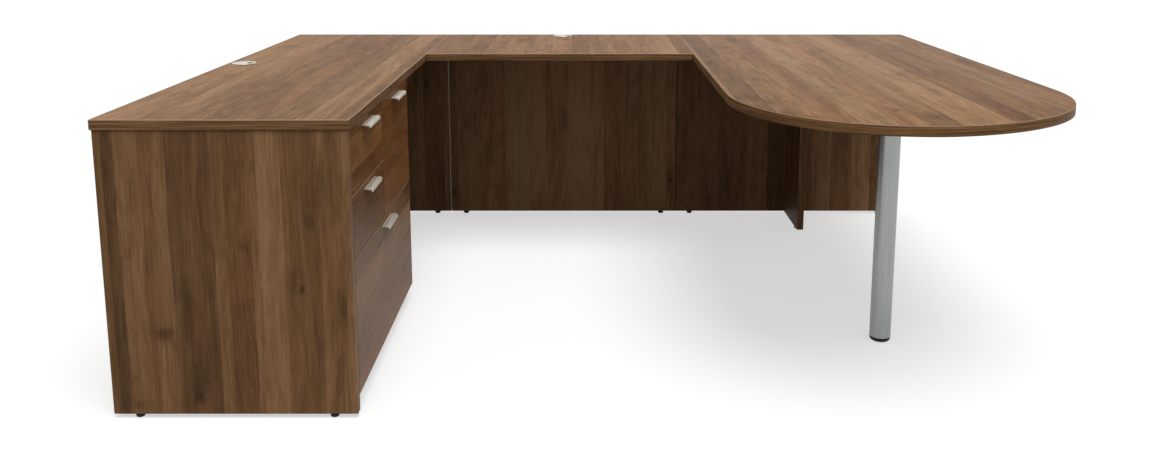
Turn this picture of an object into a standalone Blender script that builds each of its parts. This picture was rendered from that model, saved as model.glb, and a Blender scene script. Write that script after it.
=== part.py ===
"""U-shaped desk: a left arm over a case of drawers, a bridge, and a D-ended peninsula on a round post.

Metres, +Z up. The origin is on the floor under the middle of the desk's outline. +X runs from the left
arm to the peninsula, and +Y runs from the open side of the U to its back.
"""

import math
from collections import namedtuple

import bmesh
import bpy

# Worktops
left_top_width = 0.6096
left_top_length = 1.8034
bridge_top_length = 0.934
bridge_top_depth = 0.6096
peninsula_top_width = 0.9144
peninsula_top_length = 1.8805
desk_height = 0.7493
top_thickness = 0.0254
top_arris = 0.0015

# Rounded end of the peninsula: how far back each side's curve starts, and where its tip is
nose_left_depth = 0.428
nose_right_depth = 0.506
nose_tip_share = 0.46
nose_left_handle_shares = (0.227, 0.856)
nose_right_handle_shares = (0.346, 0.704)
nose_steps = 32

# Upright panels
panel_thickness = 0.0254
panel_arris = 0.0008
panel_inset = 0.004
back_panel_inset = 0.010
open_seam = 0.0025
stiffener_depth = 0.2625
stiffener_from_right = 0.435
floor_gap = 0.011

# Levelling glides under the panels
glide_radius = 0.011
glide_neck_radius = 0.0065
glide_neck_height = 0.0025
glide_round = 0.004
glide_stem_radius = 0.004
glide_stem_length = 0.025
glide_from_end = 0.060
glide_hole_clearance = 0.0004

# Post under the peninsula, with its welded plate and its foot
post_radius = 0.030
post_wall = 0.0015
post_from_right = 0.4325
post_from_tip = 0.559
post_plate_side = 0.120
post_plate_thickness = 0.004
foot_height = 0.013
foot_round = 0.009
foot_step = 0.0006
foot_plug_length = 0.030
foot_plug_clearance = 0.0004

# Cable grommets
grommet_inset = 0.0546
left_grommet_from_rear = 0.8564
grommet_flange_radius = 0.039
grommet_flange_thickness = 0.002
grommet_flange_chamfer = 0.0008
grommet_sleeve_radius = 0.030
grommet_sleeve_wall = 0.0035
grommet_sleeve_length = 0.020
grommet_hole_clearance = 0.0004
cap_seat_wall = 0.0011
cap_thickness = 0.003
cap_clearance = 0.0004
cap_notch_radius = 0.014
cap_notch_inset = 0.004

# Case of the drawers
case_board = 0.016
case_width = 0.788
case_rear_gap = 0.008
case_reveal = 0.0015
front_bumper = 0.002
near_opening_width = 0.3575
plinth_height = 0.052
plinth_recess = 0.060
plinth_end_inset = 0.010

# Drawer fronts
front_thickness = 0.019
front_setback = 0.0052
front_gap = 0.003
front_arris = 0.0008
front_top_clearance = 0.004
front_overhang = 0.0033
lateral_front_share = 0.5148
lower_front_share = 0.4945

# Drawer boxes
box_rear_clearance = 0.0257
box_wall = 0.012
box_floor = 0.006
box_floor_recess = 0.010
box_rise = 0.024
box_height_share = 0.6963
file_height_share = 0.7752
file_rib_width = 0.003
file_rib_height = 0.010

# Telescopic slides: three nested channels a side
slide_rear_clearance = 0.023
slide_height = 0.0457
slide_depth = 0.0127
slide_outer_reach = 0.0100
slide_lip = 0.0028
slide_steel = 0.0012
slide_bend = 0.0012
slide_clearance = 0.0004
slide_setback = 0.003
slide_rise = 0.035

# Pulls: a ribbed die-cast strip, flat against the front, with a lip that hangs for the fingertips
pull_length = 0.1254
pull_drop = 0.0155
pull_ridge_out = 0.0145
pull_ridge_rise = 0.0018
pull_reach = 0.0225
pull_lip_drop = 0.0082
pull_lip_wall = 0.0024
pull_belly_drop = 0.004
pull_foot_drop = 0.002
pull_groove_depth = 0.0007
pull_groove_width_share = 0.10
pull_back_groove_share = 0.70
pull_front_groove_share = 0.26
pull_back_bow_share = 0.62
pull_front_bow_share = 0.72
pull_steps = 10

# Shared by many pieces
seat_gap = 0.0003
overrun = 0.01
crease_angle = math.radians(35)
turn_steps = 40
small_turn_steps = 12
bend_steps = 2

# Places that follow from the sizes
desk_width = left_top_width + bridge_top_length + peninsula_top_width
desk_depth = max(left_top_length, peninsula_top_length)
left_edge = -desk_width / 2
right_edge = desk_width / 2
rear_edge = desk_depth / 2
bridge_left = left_edge + left_top_width
bridge_right = right_edge - peninsula_top_width
arm_front = rear_edge - left_top_length
nose_front = rear_edge - peninsula_top_length
top_underside = desk_height - top_thickness
panel_top = top_underside - seat_gap
panel_back = rear_edge - panel_inset
panel_front = panel_back - panel_thickness
face_plane = bridge_left - front_setback
end_panel_back = arm_front + panel_inset + panel_thickness

case_near = end_panel_back + seat_gap
case_far = case_near + case_width
case_front = face_plane - front_thickness - front_bumper
case_rear = left_edge + back_panel_inset + panel_thickness + case_rear_gap
back_front = case_rear + case_board
case_floor = plinth_height + seat_gap
case_ceiling = panel_top - case_board
opening_near = case_near + case_board
opening_far = case_far - case_board
divider_near = opening_near + near_opening_width
divider_far = divider_near + case_board
front_near = case_near + case_reveal
front_far = case_far - case_reveal
front_split = (divider_near + divider_far) / 2
front_top = top_underside - front_top_clearance
front_bottom = case_floor - front_overhang
lateral_top = front_bottom + lateral_front_share * (front_top - front_bottom)
upper_row_bottom = lateral_top + front_gap
upper_row_height = front_top - upper_row_bottom
lower_front_height = lower_front_share * (upper_row_height - front_gap)
lower_front_top = upper_row_bottom + lower_front_height
shelf_middle = lateral_top + front_gap / 2
box_drawer_height = box_height_share * lower_front_height
file_drawer_height = file_height_share * upper_row_height
box_front = face_plane - front_thickness - seat_gap
box_back = back_front + box_rear_clearance
slide_front = case_front - slide_setback
slide_back = back_front + slide_rear_clearance
slide_length = slide_front - slide_back
slide_middle = (slide_front + slide_back) / 2
cap_radius = grommet_sleeve_radius - cap_seat_wall - cap_clearance

Finish = namedtuple("Finish", "name colour roughness metallic")
top_laminate = Finish("top_laminate", (0.215, 0.122, 0.077), 0.45, 0.0)
panel_laminate = Finish("panel_laminate", (0.130, 0.066, 0.036), 0.5, 0.0)
front_laminate = Finish("front_laminate", (0.140, 0.074, 0.044), 0.5, 0.0)
case_laminate = Finish("case_laminate", (0.110, 0.058, 0.033), 0.55, 0.0)
box_melamine = Finish("box_melamine", (0.055, 0.052, 0.050), 0.5, 0.0)
slide_zinc = Finish("slide_zinc", (0.52, 0.53, 0.54), 0.35, 1.0)
satin_nickel = Finish("satin_nickel", (0.62, 0.58, 0.52), 0.3, 1.0)
satin_aluminium = Finish("satin_aluminium", (0.56, 0.57, 0.57), 0.32, 1.0)
black_plastic = Finish("black_plastic", (0.012, 0.012, 0.012), 0.45, 0.0)


def start_afresh():
    """Empties the scene and makes the collections of the desk and of its cutters."""
    for item in list(bpy.data.objects):
        bpy.data.objects.remove(item, do_unlink=True)
    made = []
    for name in ("u_shaped_desk", "cutters"):
        collection = bpy.data.collections.new(name)
        bpy.context.scene.collection.children.link(collection)
        made.append(collection)
    return made


desk, cutters = start_afresh()


def paint(piece, finish):
    """Gives a piece the Principled material of its finish."""
    material = bpy.data.materials.get(finish.name)
    if material is None:
        material = bpy.data.materials.new(finish.name)
        material.use_nodes = True
        shader = material.node_tree.nodes["Principled BSDF"]
        shader.inputs["Base Color"].default_value = (*finish.colour, 1.0)
        shader.inputs["Roughness"].default_value = finish.roughness
        shader.inputs["Metallic"].default_value = finish.metallic
        material.diffuse_color = (*finish.colour, 1.0)
    piece.data.materials.clear()
    piece.data.materials.append(material)


def place(name, data, location, finish):
    """Puts data in the scene: as a piece of the desk, or as a wire guide where it has no finish."""
    piece = bpy.data.objects.new(name, data)
    piece.location = location
    if finish is None:
        cutters.objects.link(piece)
        piece.hide_render = True
        piece.display_type = "WIRE"
    else:
        desk.objects.link(piece)
        paint(piece, finish)
    return piece


def box(name, low, high, finish=None, arris=0.0):
    """A box between two opposite corners, with its edges eased by the arris."""
    size = [top - bottom for bottom, top in zip(low, high)]
    centre = [(top + bottom) / 2 for bottom, top in zip(low, high)]
    shape = bmesh.new()
    bmesh.ops.create_cube(shape, size=1.0)
    bmesh.ops.scale(shape, vec=size, verts=shape.verts)
    mesh = bpy.data.meshes.new(name)
    shape.to_mesh(mesh)
    shape.free()
    piece = place(name, mesh, centre, finish)
    if arris > 0:
        ease(piece, arris)
    return piece


def ease(piece, arris):
    """Takes a narrow flat off every corner of a piece."""
    bevel = piece.modifiers.new("arris", "BEVEL")
    bevel.width = arris
    bevel.segments = 1
    bevel.limit_method = "ANGLE"
    bevel.angle_limit = crease_angle


def rod(name, centre, radius, low, high, steps):
    """An upright round cutter."""
    shape = bmesh.new()
    bmesh.ops.create_cone(
        shape, cap_ends=True, segments=steps, radius1=radius, radius2=radius, depth=high - low
    )
    mesh = bpy.data.meshes.new(name)
    shape.to_mesh(mesh)
    shape.free()
    return place(name, mesh, (*centre, (low + high) / 2), None)


def combine(piece, guide, operation):
    """Cuts a guide out of a piece, or joins it on."""
    change = piece.modifiers.new(guide.name, "BOOLEAN")
    change.operation = operation
    change.object = guide


def cut(piece, guide):
    combine(piece, guide, "DIFFERENCE")


def fuse(piece, guide):
    combine(piece, guide, "UNION")


def turned(name, profile, centre, finish, steps, closed=False):
    """A profile of (radius, height) points, run down its outer side, turned about an upright axis."""
    edges = [(index, index + 1) for index in range(len(profile) - 1)]
    if closed:
        edges.append((len(profile) - 1, 0))
    mesh = bpy.data.meshes.new(name)
    mesh.from_pydata([(radius, 0.0, height) for radius, height in profile], edges, [])
    piece = place(name, mesh, (*centre, 0.0), finish)
    screw = piece.modifiers.new("turn", "SCREW")
    screw.axis = "Z"
    screw.angle = math.tau
    screw.steps = steps
    screw.render_steps = steps
    screw.use_merge_vertices = True
    screw.merge_threshold = 0.0001
    return piece


def settle(piece):
    """Makes a piece's modifiers its mesh, shaded smooth with the real corners kept sharp."""
    graph = bpy.context.evaluated_depsgraph_get()
    mesh = bpy.data.meshes.new_from_object(piece.evaluated_get(graph), depsgraph=graph)
    piece.modifiers.clear()
    piece.data = mesh
    mesh.name = piece.name
    mesh.shade_smooth()
    mesh.set_sharp_from_angle(angle=crease_angle)
    return piece


def quarter_round(corner_radius, corner_height, round_radius, steps):
    """Points of a quarter arc that rounds a lower outer corner, from its side to its base."""
    centre_radius = corner_radius - round_radius
    centre_height = corner_height + round_radius
    points = []
    for step in range(steps + 1):
        angle = math.pi / 2 * step / steps
        points.append(
            (
                centre_radius + round_radius * math.cos(angle),
                centre_height - round_radius * math.sin(angle),
            )
        )
    return points


def bezier(start, start_handle, end_handle, end, steps):
    """Points of a cubic Bezier arc, from its start to its end."""
    points = []
    for step in range(steps + 1):
        t = step / steps
        weights = ((1 - t) ** 3, 3 * (1 - t) ** 2 * t, 3 * (1 - t) * t**2, t**3)
        corners = (start, start_handle, end_handle, end)
        points.append(tuple(sum(w * c[axis] for w, c in zip(weights, corners)) for axis in (0, 1)))
    return points


def flat(name, outline, thickness, location, finish):
    """A closed outline filled and thickened by half its thickness each way."""
    curve = bpy.data.curves.new(name, "CURVE")
    curve.dimensions = "2D"
    curve.fill_mode = "BOTH"
    curve.extrude = thickness / 2
    spline = curve.splines.new("POLY")
    spline.points.add(len(outline) - 1)
    for point, (across, along) in zip(spline.points, outline):
        point.co = (across, along, 0.0, 1.0)
    spline.use_cyclic_u = True
    return place(name, curve, location, finish)


def carry(name, location, *pieces):
    """An empty that carries pieces without moving them."""
    carrier = bpy.data.objects.new(name, None)
    carrier.location = location
    desk.objects.link(carrier)
    for piece in pieces:
        piece.parent = carrier
        piece.location = [own - base for own, base in zip(piece.location, location)]
    return carrier


def grommet_hole(top, name, centre):
    """The round hole of a cable grommet, right through a worktop."""
    radius = grommet_sleeve_radius + grommet_hole_clearance
    guide = rod(name, centre, radius, top_underside - overrun, desk_height + overrun, turn_steps)
    cut(top, guide)


def nose_outline():
    """The peninsula's outline: straight sides and back, and one long soft curve round the front."""
    tip = (bridge_right + nose_tip_share * peninsula_top_width, nose_front)
    left_end = (bridge_right, nose_front + nose_left_depth)
    right_end = (right_edge, nose_front + nose_right_depth)
    side_share, tip_share = nose_left_handle_shares
    left_curve = bezier(
        left_end,
        (left_end[0], left_end[1] - side_share * nose_left_depth),
        (tip[0] - tip_share * (tip[0] - bridge_right), tip[1]),
        tip,
        nose_steps,
    )
    tip_share, side_share = nose_right_handle_shares
    right_curve = bezier(
        tip,
        (tip[0] + tip_share * (right_edge - tip[0]), tip[1]),
        (right_end[0], right_end[1] - side_share * nose_right_depth),
        right_end,
        nose_steps,
    )
    return [(bridge_right, rear_edge), *left_curve, *right_curve[1:], (right_edge, rear_edge)]


def worktops():
    """Three boards side by side: the left arm, the bridge and the peninsula."""
    left_top = box(
        "left_top",
        (left_edge, arm_front, top_underside),
        (bridge_left, rear_edge, desk_height),
        top_laminate,
        top_arris,
    )
    grommet_hole(left_top, "left_grommet_hole", left_grommet)
    bridge_top = box(
        "bridge_top",
        (bridge_left + seat_gap, rear_edge - bridge_top_depth, top_underside),
        (bridge_right - seat_gap, rear_edge, desk_height),
        top_laminate,
        top_arris,
    )
    grommet_hole(bridge_top, "bridge_grommet_hole", bridge_grommet)
    middle = (top_underside + desk_height) / 2
    peninsula = flat(
        "peninsula_top", nose_outline(), top_thickness, (0.0, 0.0, middle), top_laminate
    )
    weld = peninsula.modifiers.new("weld", "WELD")
    weld.merge_threshold = 0.0001
    ease(peninsula, top_arris)


def panels():
    """Six uprights that stand on glides, or hang between the ones that do."""
    front_end = box(
        "front_end_panel",
        (left_edge + panel_inset, arm_front + panel_inset, floor_gap),
        (face_plane, end_panel_back, panel_top),
        panel_laminate,
        panel_arris,
    )
    left_rear = box(
        "left_rear_panel",
        (left_edge + panel_inset, panel_front, floor_gap),
        (bridge_left - open_seam / 2, panel_back, panel_top),
        panel_laminate,
        panel_arris,
    )
    box(
        "left_back_panel",
        (left_edge + back_panel_inset, end_panel_back + seat_gap, floor_gap),
        (left_edge + back_panel_inset + panel_thickness, panel_front - seat_gap, panel_top),
        panel_laminate,
        panel_arris,
    )
    bridge_back = box(
        "bridge_back_panel",
        (bridge_left + open_seam / 2, panel_front, floor_gap),
        (bridge_right - seat_gap, panel_back, panel_top),
        panel_laminate,
        panel_arris,
    )
    peninsula_back = box(
        "peninsula_back_panel",
        (bridge_right, panel_front, floor_gap),
        (right_edge - panel_inset, panel_back, panel_top),
        panel_laminate,
        panel_arris,
    )
    stiffener_right = right_edge - stiffener_from_right
    stiffener = box(
        "stiffener_panel",
        (stiffener_right - panel_thickness, panel_front - stiffener_depth, floor_gap),
        (stiffener_right, panel_front - seat_gap, panel_top),
        panel_laminate,
        panel_arris,
    )
    end_middle = (arm_front + panel_inset + end_panel_back) / 2
    back_middle = (panel_front + panel_back) / 2
    glide_pair(front_end, "front_end", left_edge + panel_inset, face_plane, end_middle)
    glide_pair(left_rear, "left_rear", left_edge + panel_inset, bridge_left, back_middle)
    glide_pair(bridge_back, "bridge_back", bridge_left, bridge_right, back_middle)
    glide_pair(
        peninsula_back, "peninsula_back", bridge_right, right_edge - panel_inset, back_middle
    )
    glide(
        stiffener,
        "stiffener_glide",
        (stiffener_right - panel_thickness / 2, panel_front - stiffener_depth + glide_from_end),
    )


def glide_pair(panel, name, low, high, along):
    """A glide near each end of a panel that runs left to right."""
    glide(panel, name + "_left_glide", (low + glide_from_end, along))
    glide(panel, name + "_right_glide", (high - glide_from_end, along))


def glide(panel, name, centre):
    """A black foot on a threaded stem that goes up into the panel's bottom edge."""
    shoulder = floor_gap - glide_neck_height
    rounding = quarter_round(glide_radius, 0.0, glide_round, bend_steps)
    profile = [
        (0.0, floor_gap + glide_stem_length),
        (glide_stem_radius, floor_gap + glide_stem_length),
        (glide_stem_radius, floor_gap - seat_gap),
        (glide_neck_radius, floor_gap - seat_gap),
        (glide_neck_radius, shoulder),
        (glide_radius, shoulder),
        *rounding,
        (0.0, 0.0),
    ]
    settle(turned(name, profile, centre, black_plastic, small_turn_steps))
    guide = rod(
        name + "_hole",
        centre,
        glide_stem_radius + glide_hole_clearance,
        floor_gap - overrun,
        floor_gap + glide_stem_length + glide_hole_clearance,
        small_turn_steps,
    )
    cut(panel, guide)


def post():
    """A round tube with a plate welded on top, and a black levelling foot plugged in below."""
    centre = (right_edge - post_from_right, nose_front + post_from_tip)
    tube_bottom = foot_height + seat_gap
    plate_bottom = panel_top - post_plate_thickness
    bore = post_radius - post_wall
    tube_profile = [
        (post_radius, plate_bottom + post_plate_thickness / 2),
        (post_radius, tube_bottom),
        (bore, tube_bottom),
        (bore, plate_bottom + post_plate_thickness / 2),
    ]
    tube = turned("leg_post", tube_profile, centre, satin_aluminium, turn_steps, closed=True)
    half = post_plate_side / 2
    plate = box(
        "leg_plate",
        (centre[0] - half, centre[1] - half, plate_bottom),
        (centre[0] + half, centre[1] + half, panel_top),
    )
    fuse(tube, plate)
    settle(tube)

    plug = bore - foot_plug_clearance
    foot_profile = [
        (0.0, foot_height + foot_plug_length),
        (plug, foot_height + foot_plug_length),
        (plug, foot_height),
        (post_radius - foot_step, foot_height),
        *quarter_round(post_radius - foot_step, 0.0, foot_round, 2 * bend_steps),
        (0.0, 0.0),
    ]
    settle(turned("leg_foot", foot_profile, centre, black_plastic, turn_steps))


def grommet(name, centre):
    """A nickel liner pressed into a worktop, and the notched cap that turns in it."""
    flange_top = desk_height + seat_gap + grommet_flange_thickness
    flange_seat = desk_height + seat_gap
    ledge = flange_top - cap_thickness - seat_gap
    bore = grommet_sleeve_radius - grommet_sleeve_wall
    recess = cap_radius + cap_clearance
    sleeve_end = desk_height - grommet_sleeve_length
    liner_profile = [
        (recess, flange_top),
        (grommet_flange_radius - grommet_flange_chamfer, flange_top),
        (grommet_flange_radius, flange_top - grommet_flange_chamfer),
        (grommet_flange_radius, flange_seat),
        (grommet_sleeve_radius, flange_seat),
        (grommet_sleeve_radius, sleeve_end),
        (bore, sleeve_end),
        (bore, ledge),
        (recess, ledge),
    ]
    liner = turned(
        name + "_grommet_liner", liner_profile, centre, satin_nickel, turn_steps, closed=True
    )
    settle(liner)
    cap_profile = [
        (0.0, flange_top),
        (cap_radius, flange_top),
        (cap_radius, flange_top - cap_thickness),
        (0.0, flange_top - cap_thickness),
    ]
    cap = turned(name + "_grommet_cap", cap_profile, centre, satin_nickel, turn_steps)
    notch = rod(
        name + "_cap_notch",
        (centre[0] + cap_radius - cap_notch_inset, centre[1]),
        cap_notch_radius,
        desk_height - overrun,
        desk_height + overrun,
        turn_steps,
    )
    cut(cap, notch)
    settle(cap)


def rounded(path, radius, steps):
    """An open path with each bend turned into a short arc of the given radius."""
    points = [path[0]]
    for before, corner, after in zip(path, path[1:], path[2:]):
        incoming = math.atan2(corner[1] - before[1], corner[0] - before[0])
        outgoing = math.atan2(after[1] - corner[1], after[0] - corner[0])
        bend = math.remainder(outgoing - incoming, math.tau)
        setback = radius * math.tan(abs(bend) / 2)
        side = math.copysign(1.0, bend)
        start = (
            corner[0] - setback * math.cos(incoming),
            corner[1] - setback * math.sin(incoming),
        )
        centre = (
            start[0] - side * radius * math.sin(incoming),
            start[1] + side * radius * math.cos(incoming),
        )
        for step in range(steps + 1):
            heading = incoming + bend * step / steps
            points.append(
                (
                    centre[0] + side * radius * math.sin(heading),
                    centre[1] - side * radius * math.cos(heading),
                )
            )
    points.append(path[-1])
    return points


def channel(name, path, hand, location, finish=None):
    """A roll-formed channel: a path of (depth, height) points drawn out lengthwise, with a steel wall."""
    half = slide_length / 2
    points = rounded(path, slide_bend, bend_steps)
    shape = bmesh.new()
    verts = [shape.verts.new((-half, hand * depth, height)) for depth, height in points]
    edges = [shape.edges.new(pair) for pair in zip(verts, verts[1:])]
    drawn = bmesh.ops.extrude_edge_only(shape, edges=edges)["geom"]
    far_verts = [item for item in drawn if isinstance(item, bmesh.types.BMVert)]
    bmesh.ops.translate(shape, vec=(slide_length, 0.0, 0.0), verts=far_verts)
    mesh = bpy.data.meshes.new(name)
    shape.to_mesh(mesh)
    shape.free()
    piece = place(name, mesh, location, finish)
    wall = piece.modifiers.new("steel", "SOLIDIFY")
    wall.thickness = slide_steel
    wall.offset = 0.0
    wall.use_even_offset = True
    return piece


def lipped(web_depth, flange_height, lip_depth, lip_end):
    """The middle line of a channel: lip, flange, web, flange, lip."""
    upper = [(lip_depth, lip_end), (lip_depth, flange_height), (web_depth, flange_height)]
    lower = [(depth, -height) for depth, height in reversed(upper)]
    return upper + lower


def slide_paths():
    """Middle lines of the three members, each nested in the one before with the running clearance."""
    half_steel = slide_steel / 2
    outer_flange = slide_height / 2 - half_steel
    outer_lip = slide_outer_reach - half_steel
    outer = lipped(half_steel, outer_flange, outer_lip, outer_flange - slide_lip)
    step = slide_steel + slide_clearance
    middle_web = half_steel + step
    middle_flange = outer_flange - step
    middle_lip = outer_lip - step
    middle = lipped(middle_web, middle_flange, middle_lip, middle_flange - slide_lip)
    inner_flange = middle_flange - slide_lip - slide_clearance - half_steel
    inner_web = slide_depth - half_steel
    inner_lip = middle_web + step
    inner_lip_end = middle_flange - half_steel - slide_clearance
    inner = lipped(inner_web, inner_flange, inner_lip, inner_lip_end)
    return outer, middle, inner


Drawer = namedtuple("Drawer", "name near far bottom top open_near open_far height holds_files")


def drawer_list():
    """Where each drawer's front and opening lie, and how tall its box is."""
    near_end = front_split - front_gap / 2
    far_start = front_split + front_gap / 2
    return (
        Drawer(
            "upper_box", front_near, near_end, lower_front_top + front_gap, front_top,
            opening_near, divider_near, box_drawer_height, False,
        ),
        Drawer(
            "lower_box", front_near, near_end, upper_row_bottom, lower_front_top,
            opening_near, divider_near, box_drawer_height, False,
        ),
        Drawer(
            "file", far_start, front_far, upper_row_bottom, front_top,
            divider_far, opening_far, file_drawer_height, True,
        ),
        Drawer(
            "lateral", front_near, front_far, front_bottom, lateral_top,
            opening_near, opening_far, file_drawer_height, True,
        ),
    )


def slide_height_of(drawer):
    """The height of a drawer's slides above the floor."""
    return drawer.bottom + box_rise + slide_rise


def case():
    """Seven boards round the drawers, on a set-back plinth; the uprights carry the slides' outer members."""
    shelf_bottom = shelf_middle - case_board / 2
    shelf_top = shelf_middle + case_board / 2
    near_side = box(
        "case_near_side",
        (case_rear, case_near, case_floor),
        (case_front, opening_near, panel_top),
        case_laminate,
    )
    far_side = box(
        "case_far_side",
        (case_rear, opening_far, case_floor),
        (case_front, case_far, panel_top),
        case_laminate,
    )
    inner_near = opening_near + seat_gap
    inner_far = opening_far - seat_gap
    box(
        "case_bottom",
        (case_rear, inner_near, case_floor),
        (case_front, inner_far, case_floor + case_board),
        case_laminate,
    )
    box(
        "case_top",
        (case_rear, inner_near, case_ceiling),
        (case_front, inner_far, panel_top),
        case_laminate,
    )
    box(
        "case_back",
        (case_rear, inner_near, case_floor + case_board + seat_gap),
        (back_front, inner_far, case_ceiling - seat_gap),
        case_laminate,
    )
    box(
        "case_shelf",
        (back_front + seat_gap, inner_near, shelf_bottom),
        (case_front, inner_far, shelf_top),
        case_laminate,
    )
    divider = box(
        "case_divider",
        (back_front + seat_gap, divider_near, shelf_top + seat_gap),
        (case_front, divider_far, case_ceiling - seat_gap),
        case_laminate,
    )
    walls = {opening_near: near_side, opening_far: far_side}
    walls[divider_near] = divider
    walls[divider_far] = divider
    outer, _, _ = slide_paths()
    for drawer in drawer_list():
        for side, face, hand in (("near", drawer.open_near, 1), ("far", drawer.open_far, -1)):
            location = (slide_middle, face - hand * seat_gap, slide_height_of(drawer))
            member = channel(f"{drawer.name}_{side}_outer_member", outer, hand, location)
            fuse(walls[face], member)

    plinth = box(
        "case_plinth",
        (case_rear, case_near + plinth_end_inset, 0.0),
        (case_front - plinth_recess, case_far - plinth_end_inset, plinth_height),
        case_laminate,
    )
    hollow = box(
        "plinth_hollow",
        (back_front, case_near + plinth_end_inset + case_board, -overrun),
        (
            case_front - plinth_recess - case_board,
            case_far - plinth_end_inset - case_board,
            plinth_height + overrun,
        ),
    )
    cut(plinth, hollow)


def pull_outline():
    """The pull's section: out over two grooves with a ridge between, down to a lip, and back underneath."""
    ridge = (pull_ridge_out, pull_ridge_rise)
    lip = (pull_reach, -pull_lip_drop)
    rise = bezier(
        (0.0, 0.0),
        (0.0, pull_back_bow_share * pull_ridge_rise),
        (pull_ridge_out * (1 - pull_back_bow_share), pull_ridge_rise),
        ridge,
        pull_steps,
    )
    fall_height = pull_ridge_rise + pull_lip_drop
    fall = bezier(
        ridge,
        (pull_ridge_out + pull_front_bow_share * (pull_reach - pull_ridge_out), pull_ridge_rise),
        (pull_reach, pull_ridge_rise - (1 - pull_front_bow_share) * fall_height),
        lip,
        pull_steps,
    )
    skin = rise + fall[1:]
    last = len(skin) - 1
    grooves = (
        pull_back_groove_share * pull_steps,
        pull_steps + pull_front_groove_share * pull_steps,
    )
    half_groove = pull_groove_width_share * pull_steps
    outside = []
    for index, (out, up) in enumerate(skin):
        before = skin[max(index - 1, 0)]
        after = skin[min(index + 1, last)]
        length = math.dist(before, after)
        inward = ((after[1] - before[1]) / length, -(after[0] - before[0]) / length)
        in_groove = any(abs(index - groove) <= half_groove for groove in grooves)
        sink = pull_groove_depth if in_groove else 0.0
        outside.append((out + sink * inward[0], up + sink * inward[1]))
    lip_back = pull_reach - pull_lip_wall
    underside = [(lip_back, -pull_lip_drop), (lip_back, -pull_belly_drop), (0.0, -pull_foot_drop)]
    return outside + underside


def drawer_box(drawer):
    """An open-topped box with its floor let in above its lower edge, and hanging ribs where it holds files."""
    near = drawer.open_near + slide_depth + seat_gap
    far = drawer.open_far - slide_depth - seat_gap
    bottom = drawer.bottom + box_rise
    top = bottom + drawer.height
    piece = box(
        f"{drawer.name}_drawer_box", (box_back, near, bottom), (box_front, far, top), box_melamine
    )
    inner_low = (box_back + box_wall, near + box_wall)
    inner_high = (box_front - box_wall, far - box_wall)
    floor = bottom + box_floor_recess + box_floor
    cavity = box(f"{drawer.name}_cavity", (*inner_low, floor), (*inner_high, top + overrun))
    cut(piece, cavity)
    recess = box(
        f"{drawer.name}_recess",
        (*inner_low, bottom - overrun),
        (*inner_high, bottom + box_floor_recess),
    )
    cut(piece, recess)
    if drawer.holds_files:
        ribs = box(
            f"{drawer.name}_ribs",
            (inner_low[0], near + file_rib_width, top - file_rib_height),
            (inner_high[0], far - file_rib_width, top + overrun),
        )
        cut(piece, ribs)
    return piece


def drawers():
    """Four drawers, each with its front, pull, box and the two inner members that ride with it."""
    _, middle, inner = slide_paths()
    section = pull_outline()
    for drawer in drawer_list():
        front = box(
            f"{drawer.name}_drawer_front",
            (face_plane - front_thickness, drawer.near, drawer.bottom),
            (face_plane, drawer.far, drawer.top),
            front_laminate,
            front_arris,
        )
        pull_place = (
            face_plane + seat_gap,
            (drawer.near + drawer.far) / 2,
            drawer.top - pull_drop,
        )
        pull = flat(f"{drawer.name}_drawer_pull", section, pull_length, pull_place, satin_nickel)
        pull.rotation_euler = (math.pi / 2, 0.0, 0.0)
        riders = [front, pull, drawer_box(drawer)]
        sliders = []
        height = slide_height_of(drawer)
        for side, face, hand in (("near", drawer.open_near, 1), ("far", drawer.open_far, -1)):
            location = (slide_middle, face, height)
            name = f"{drawer.name}_{side}"
            riders.append(channel(f"{name}_inner_member", inner, hand, location, slide_zinc))
            sliders.append(channel(f"{name}_middle_member", middle, hand, location, slide_zinc))
        carry(f"{drawer.name}_drawer", (face_plane, pull_place[1], height), *riders)
        carry(f"{drawer.name}_slides", (slide_middle, pull_place[1], height), *sliders)


left_grommet = (left_edge + grommet_inset, rear_edge - left_grommet_from_rear)
bridge_grommet = ((bridge_left + bridge_right) / 2, rear_edge - grommet_inset)

worktops()
panels()
post()
grommet("left", left_grommet)
grommet("bridge", bridge_grommet)
case()
drawers()
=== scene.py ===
"""Looks of the U-shaped desk: walnut-print boards, satin metal fittings and the drawers' slides.

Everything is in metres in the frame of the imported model, so a piece goes where its node says.
"""

import math
from typing import NamedTuple

import bmesh
import bpy
import numpy as np
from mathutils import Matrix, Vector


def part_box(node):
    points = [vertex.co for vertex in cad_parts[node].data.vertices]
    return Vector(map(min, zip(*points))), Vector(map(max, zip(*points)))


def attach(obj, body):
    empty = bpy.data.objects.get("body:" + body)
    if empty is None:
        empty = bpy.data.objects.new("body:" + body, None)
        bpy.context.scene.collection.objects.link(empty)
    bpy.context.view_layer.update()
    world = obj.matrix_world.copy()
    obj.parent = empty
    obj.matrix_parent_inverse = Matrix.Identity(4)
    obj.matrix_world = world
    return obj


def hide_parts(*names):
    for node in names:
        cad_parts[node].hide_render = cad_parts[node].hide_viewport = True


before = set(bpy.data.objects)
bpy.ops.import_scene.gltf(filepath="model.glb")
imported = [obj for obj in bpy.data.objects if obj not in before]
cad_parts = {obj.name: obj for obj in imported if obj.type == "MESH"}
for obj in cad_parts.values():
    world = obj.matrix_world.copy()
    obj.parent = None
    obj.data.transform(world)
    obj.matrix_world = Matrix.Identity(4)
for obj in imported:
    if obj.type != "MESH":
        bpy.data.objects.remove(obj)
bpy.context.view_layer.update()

# Studio
# The camera stands before the open side of the U, as high as a seated eye, and looks a little down.
# The floor is a pale sheet that takes a thin shadow. One broad lamp shines from high in front, and
# a white dome fills in.

lens = 31.707
film_width = 36
eye = (-0.0731, -3.18345, 1.2071)
look_down = 0.1687
frame_slide = (-0.00647, -0.1171)

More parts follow.
